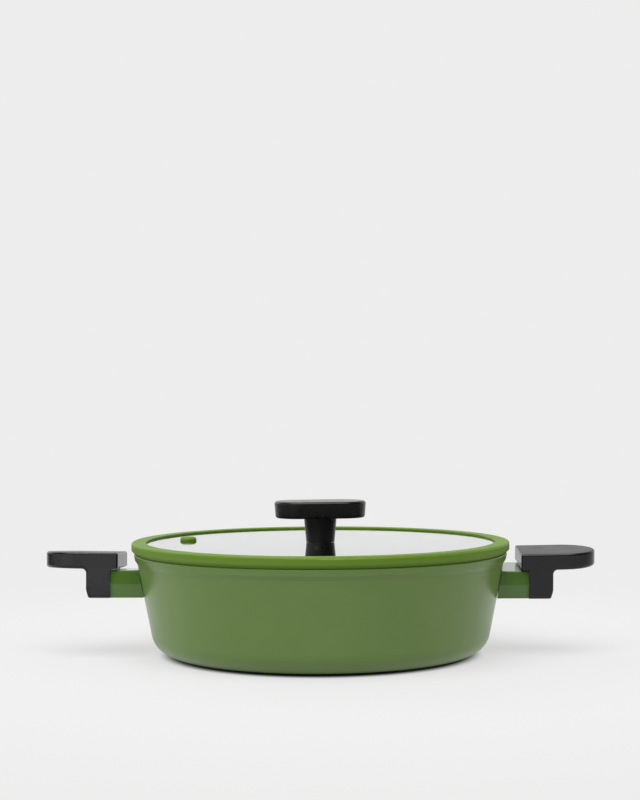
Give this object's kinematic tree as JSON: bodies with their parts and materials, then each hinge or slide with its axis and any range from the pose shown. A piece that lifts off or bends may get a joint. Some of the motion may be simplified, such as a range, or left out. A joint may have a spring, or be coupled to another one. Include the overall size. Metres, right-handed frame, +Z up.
{
  "type": "braiser with lid",
  "caption": "Low wide round braising pot with side grips and a lift-off flat glass lid with a bar knob, for slow cooking on a hob.",
  "frame": {"origin": "centre of the pot's footprint, on the surface that it stands on", "axes": "+Z up, the two grips along +X and -X, the front towards -Y"},
  "size_m": [0.4223, 0.29, 0.1169],
  "materials": {
    "pot_enamel": "satin green coating outside, black flecked non-stick coating inside",
    "sleeve_enamel": "gloss green coating",
    "base_steel": "turned stainless steel",
    "boss_aluminium": "as cast",
    "phenolic": "satin moulded black phenolic",
    "screw_steel": "plain stainless steel",
    "lid_silicone": "satin green silicone",
    "gasket_silicone": "matte black silicone",
    "lid_glass": "polished toughened glass",
    "insert_brass": "turned brass"
  },
  "bodies": {
    "pot": {"pot_shell": "pot_enamel", "base_plate": "base_steel", "handle_boss_right": "boss_aluminium", "handle_boss_left": "boss_aluminium", "handle_sleeve_right": "sleeve_enamel", "handle_sleeve_left": "sleeve_enamel", "handle_grip_right": "phenolic", "handle_grip_left": "phenolic", "handle_screw_right": "screw_steel", "handle_screw_left": "screw_steel", "handle_washer_right": "screw_steel", "handle_washer_left": "screw_steel"},
    "lid": {"lid_glass": "lid_glass", "lid_rim": "lid_silicone", "vent_grommet": "lid_silicone", "knob_grip": "phenolic", "knob_insert": "insert_brass", "knob_upper_gasket": "gasket_silicone", "knob_lower_gasket": "gasket_silicone", "knob_washer": "screw_steel", "knob_screw": "screw_steel"}
  },
  "joints": [
    {"name": "lid_lift", "type": "slide", "parent": "pot", "child": "lid", "axis": [0, 0, 1], "range_m": [0, 0.15]}
  ]
}
